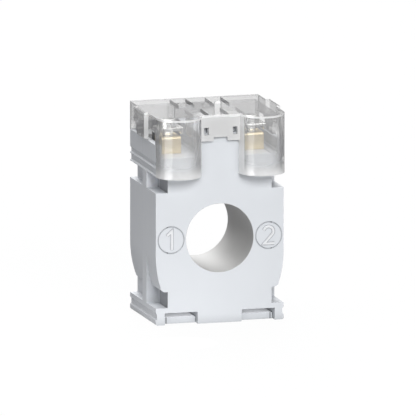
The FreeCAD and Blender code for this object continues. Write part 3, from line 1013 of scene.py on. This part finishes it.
class TRANSFORMER_OT_marks(bpy.types.Operator):
    """Raise a plain number in each round field of the front face"""

    bl_idname = "transformer.marks"
    bl_label = "Numbers"

    FIELD_X = 15.8 * MM
    RELIEF = 0.3 * MM
    DRAFT = 0.08 * MM
    OUTLINE = 0.2 * MM
    SHADOW_RELIEF = 0.02 * MM
    ARC_STEPS = 18
    LEAST_TURN = 0.45

    def execute(self, context):
        settings = context.scene.ct_marks
        case = bpy.data.materials["case_plastic"]
        shade = moulded_plastic("mark_shade", settings.outline_colour, 0.6, 0.35 * MM, 0.004 * MM).material
        half = settings.stroke_width / 2
        outer = half + self.OUTLINE
        # Each number stands on a darker flat ribbon a little wider than its strokes, a painted shadow round
        # their foot
        layers = (
            ("number_", case, half, half - self.DRAFT, self.RELIEF),
            ("outline_", shade, outer, outer, self.SHADOW_RELIEF),
        )
        for side, sign, stroke in zip(SIDES, (-1, 1), (self.one(), self.two())):
            points = [(x * settings.height, y * settings.height) for x, y in stroke]
            place = Matrix.Translation((sign * self.FIELD_X, 0, 0)) @ STAND_UP
            for kind, material, foot_half, top_half, relief in layers:
                mesh = self.ribbon(kind + side, points, foot_half, top_half, relief)
                mesh.transform(place)
                new_piece(kind + side, mesh, material, "case")
        return {"FINISHED"}

    def one(self):
        """The middle line of a 1 that is one unit high."""
        return [(-0.2, 0.24), (0.05, 0.46), (0.05, -0.5)]

    def two(self):
        """The middle line of a 2 that is one unit high."""
        radius = 0.25
        points = []
        for step in range(self.ARC_STEPS + 1):
            turn = math.radians(165 - 200 * step / self.ARC_STEPS)
            points.append((radius * math.cos(turn), 0.2 + radius * math.sin(turn)))
        return [*points, (-0.24, -0.42), (0.3, -0.42)]

    def ribbon(self, name, points, foot_half, top_half, height):
        """A flat raised stroke along a line of points, a little narrower at its top."""
        shape = bmesh.new()
        rows = []
        for index, point in enumerate(points):
            across = self.across(points, index)
            row = []
            for half, level in ((foot_half, 0), (top_half, height)):
                for sign in (-1, 1):
                    spot = Vector(point) + across * half * sign
                    row.append(shape.verts.new((spot.x, spot.y, level)))
            rows.append(row)
        for first, second in zip(rows, rows[1:]):
            for a, b in ((0, 1), (1, 3), (3, 2), (2, 0)):
                shape.faces.new((first[a], first[b], second[b], second[a]))
        for row in (rows[0], rows[-1]):
            shape.faces.new((row[0], row[1], row[3], row[2]))
        bmesh.ops.recalc_face_normals(shape, faces=shape.faces)
        return plain_mesh(shape, name)

    def across(self, points, index):
        """Which way a stroke widens at one point, longer where the line turns."""
        spots = [Vector(point) for point in points]
        before = spots[max(index - 1, 0)]
        after = spots[min(index + 1, len(spots) - 1)]
        ways = [way.normalized() for way in (spots[index] - before, after - spots[index]) if way.length > 0]
        along = sum(ways, Vector((0, 0))).normalized()
        normal = Vector((-along.y, along.x))
        side = Vector((-ways[0].y, ways[0].x))
        return normal / max(normal.dot(side), self.LEAST_TURN)


class TRANSFORMER_OT_cover(bpy.types.Operator):
    """Make the clear cover over the terminals"""

    bl_idname = "transformer.cover"
    bl_label = "Clear cover"

    PLATE = 1.2 * MM
    WINDOW_X = (3.0 * MM, 8.35 * MM)
    ARCH_X = 19.4 * MM
    ARCH_Z = (30.2 * MM, 34.7 * MM)
    ARCH_Y = ((0.5 * MM, 8.95 * MM), (17.2 * MM, 28.4 * MM))
    SIDEWAYS = 0.5
    INNER_X = 0.3
    INNER_Y = -0.5

    def execute(self, context):
        settings = context.scene.ct_cover
        mesh = solid_copy("terminal_cover", settings.edge_radius, 3, "clear_cover")
        foot, top = (corner[2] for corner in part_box("terminal_cover"))
        clear = clear_plastic(settings, foot, top)
        new_piece("clear_cover", mesh, clear, "cover", ["terminal_cover"])
        mesh.materials.append(cut_plastic(settings))
        # The window and arch walls get the dark cut material, partly painted shade
        for face in mesh.polygons:
            if self.in_window(face, top) or self.in_arch(face):
                face.material_index = 1
        return {"FINISHED"}

    def in_window(self, face, top):
        """Whether a face is an upright wall of a window in the top plate."""
        x, _, z = face.center
        low, high = self.WINDOW_X
        return low < abs(x) < high and top - self.PLATE < z < top and abs(face.normal.x) > self.SIDEWAYS

    def in_arch(self, face):
        """Whether a face lies in the thickness of a cable arch."""
        x, y, z = face.center
        low, high = self.ARCH_Z
        beside = any(start < y < end for start, end in self.ARCH_Y)
        inner = abs(face.normal.x) < self.INNER_X and face.normal.y > self.INNER_Y
        return abs(x) > self.ARCH_X and low < z < high and beside and inner


class TRANSFORMER_OT_terminals(bpy.types.Operator):
    """Make the terminal screws and finish the brackets and clamp plates"""

    bl_idname = "transformer.terminals"
    bl_label = "Terminals"

    BRACKET_EDGE = 0.12 * MM
    PLATE_EDGE = 0.15 * MM
    HEAD_DOME = 0.75 * MM
    SLOT_WIDTH = 0.8 * MM
    SLOT_DEPTH = 1.2 * MM
    SHANK_RADIUS = 1.7 * MM
    HEAD_HEIGHT = 2.4 * MM
    TIP_BEVEL = 0.4 * MM
    TURN_STEPS = 48
    DOME_STEPS = 6

    def execute(self, context):
        settings = context.scene.ct_terminals
        brass = metal(
            "brass_strip", settings.brass_colour, 0.28, 0.42, 0.25 * MM, 0.006 * MM, (1.0, 1.0, 0.15),
        )
        plating = metal(
            "zinc_plating", settings.plating_colour, 0.16, 0.30, 0.2 * MM, 0.004 * MM, (1.0, 0.3, 1.0),
        )
        tree = thread_tree(plating)
        for side in SIDES:
            bracket = dress("terminal_bracket_" + side, brass)
            round_edges(bracket, self.BRACKET_EDGE)
            plate = dress("clamp_plate_" + side, plating)
            round_edges(plate, self.PLATE_EDGE)
            self.add_screw(side, settings, plating, tree)
        return {"FINISHED"}

    def add_screw(self, side, settings, material, tree):
        node = "terminal_screw_" + side
        low, high = (Vector(corner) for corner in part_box(node))
        centre = (low + high) / 2
        head_radius = (high.x - low.x) / 2
        mesh = self.screw_body(settings, head_radius, high.z - low.z)
        thread_length = high.z - low.z - self.HEAD_HEIGHT - settings.thread_pitch
        thread = tree.mesh("thread", {
            "Core radius": self.SHANK_RADIUS - settings.thread_depth,
            "Depth": settings.thread_depth,
            "Pitch": settings.thread_pitch,
            "Length": thread_length,
        })
        thread.transform(Matrix.Translation((0, 0, settings.thread_pitch / 2)))
        joined = bmesh.new()
        joined.from_mesh(mesh)
        joined.from_mesh(thread)
        joined.to_mesh(mesh)
        joined.free()
        mesh.shade_smooth()
        mesh.set_sharp_from_angle(angle=SHARP_ANGLE)
        mesh.transform(Matrix.Translation((centre.x, centre.y, low.z)))
        new_piece("screw_" + side, mesh, material, "screw_" + side, [node])

    def screw_body(self, settings, head_radius, height):
        """Shank and domed head with a driver slot, standing on height 0."""
        core = self.SHANK_RADIUS - settings.thread_depth
        tip = self.TIP_BEVEL
        under = height - self.HEAD_HEIGHT
        side_top = height - self.HEAD_DOME
        profile = [(core - tip, 0), (core, tip), (core, under), (head_radius, under), (head_radius, side_top)]
        for step in range(1, self.DOME_STEPS + 1):
            turn = math.pi / 2 * step / self.DOME_STEPS
            radius = head_radius - self.HEAD_DOME * (1 - math.cos(turn))
            profile.append((radius, side_top + self.HEAD_DOME * math.sin(turn)))
        holder = add_object("screw", lathe(profile, self.TURN_STEPS))
        blade = self.slot_blade(head_radius, height)
        cut = holder.modifiers.new("slot", "BOOLEAN")
        cut.operation = "DIFFERENCE"
        cut.solver = "EXACT"
        cut.object = blade
        mesh = baked_mesh(holder, "screw")
        blade_mesh = blade.data
        bpy.data.objects.remove(blade)
        bpy.data.meshes.remove(blade_mesh)
        return mesh

    def slot_blade(self, head_radius, height):
        shape = bmesh.new()
        size = Matrix.Diagonal((4 * head_radius, self.SLOT_WIDTH, 2 * self.SLOT_DEPTH, 1))
        bmesh.ops.create_cube(shape, size=1, matrix=Matrix.Translation((0, 0, height)) @ size)
        return add_object("blade", plain_mesh(shape, "blade"))


class TRANSFORMER_OT_core(bpy.types.Operator):
    """Finish the ring core, its caps, the wrap and the cushions"""

    bl_idname = "transformer.core"
    bl_label = "Core"

    def execute(self, context):
        caps = moulded_plastic("cap_plastic", (0.03, 0.03, 0.035), 0.45, 0.3 * MM, 0.008 * MM).material
        foam = foam_rubber()
        dress("ring_core", wound_strip())
        dress("winding_wrap", wrap_film())
        for end in ("front", "rear"):
            dress("core_cap_" + end, caps)
            dress("core_cushion_" + end, foam)
        return {"FINISHED"}


class TRANSFORMER_OT_winding(bpy.types.Operator):
    """Wind the turns round the ring and finish the leads"""

    bl_idname = "transformer.winding"
    bl_label = "Winding and leads"

    SPACE = 0.07 * MM

    def execute(self, context):
        settings = context.scene.ct_winding
        copper = enamelled_copper(settings.colour)
        self.add_turns(settings, copper)
        sleeve = moulded_plastic("sleeve_plastic", (0.75, 0.74, 0.68), 0.55, 0.2 * MM, 0.01 * MM).material
        for side in SIDES:
            dress("lead_wire_" + side, copper)
            dress("lead_sleeve_" + side, sleeve)
        return {"FINISHED"}

    def add_turns(self, settings, copper):
        cap_low, cap_high = (Vector(corner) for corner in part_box("core_cap_front"))
        rear_high = Vector(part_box("core_cap_rear")[1])
        core_high = Vector(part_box("ring_core")[1])
        coil_low, coil_high = (Vector(corner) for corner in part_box("secondary_winding"))
        wire = (cap_low.y - coil_low.y) / 2 - self.SPACE
        outer = cap_high.x
        cap_wall = cap_high.x - core_high.x
        inner = self.core_hole_radius() - cap_wall
        mesh = turns_tree(copper).mesh("wire_turns", {
            "Turns": settings.turns,
            "Ring radius": (inner + outer) / 2,
            "Loop width": outer - inner + 2 * wire,
            "Loop length": rear_high.y - cap_low.y + 2 * wire,
            "Wire radius": wire,
        })
        mesh.transform(Matrix.Translation((0, middle("ring_core").y, 0)) @ STAND_UP)
        mesh.shade_smooth()
        new_piece("wire_turns", mesh, copper, "case", ["secondary_winding"])

    def core_hole_radius(self):
        """Radius of the hole in the ring core, from its nearest vertex to the axis."""
        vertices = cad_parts["ring_core"].data.vertices
        return min(math.hypot(v.co.x, v.co.z) for v in vertices)


class TRANSFORMER_PT_looks(bpy.types.Panel):
    """Lists the settings and the steps that finish the transformer"""

    bl_label = "Current transformer"
    bl_space_type = "VIEW_3D"
    bl_region_type = "UI"
    bl_category = "Transformer"

    def draw(self, context):
        for step in STEPS:
            self.layout.operator(step.bl_idname)
        for name, group in SETTINGS.items():
            box = self.layout.box()
            for key in group.__annotations__:
                box.prop(getattr(context.scene, name), key)


STEPS = (
    TRANSFORMER_OT_stage,
    TRANSFORMER_OT_case,
    TRANSFORMER_OT_marks,
    TRANSFORMER_OT_cover,
    TRANSFORMER_OT_terminals,
    TRANSFORMER_OT_core,
    TRANSFORMER_OT_winding,
)
CLASSES = (*SETTINGS.values(), *STEPS, TRANSFORMER_PT_looks)


def register():
    for item in CLASSES:
        bpy.utils.register_class(item)
    for name, group in SETTINGS.items():
        setattr(bpy.types.Scene, name, PointerProperty(type=group))


def unregister():
    for name in SETTINGS:
        delattr(bpy.types.Scene, name)
    for item in reversed(CLASSES):
        bpy.utils.unregister_class(item)


def main():
    register()
    bpy.ops.transformer.stage()
    bpy.ops.transformer.case()
    bpy.ops.transformer.marks()
    bpy.ops.transformer.cover()
    bpy.ops.transformer.terminals()
    bpy.ops.transformer.core()
    bpy.ops.transformer.winding()
    bpy.context.view_layer.update()


if __name__ == "__main__":
    main()
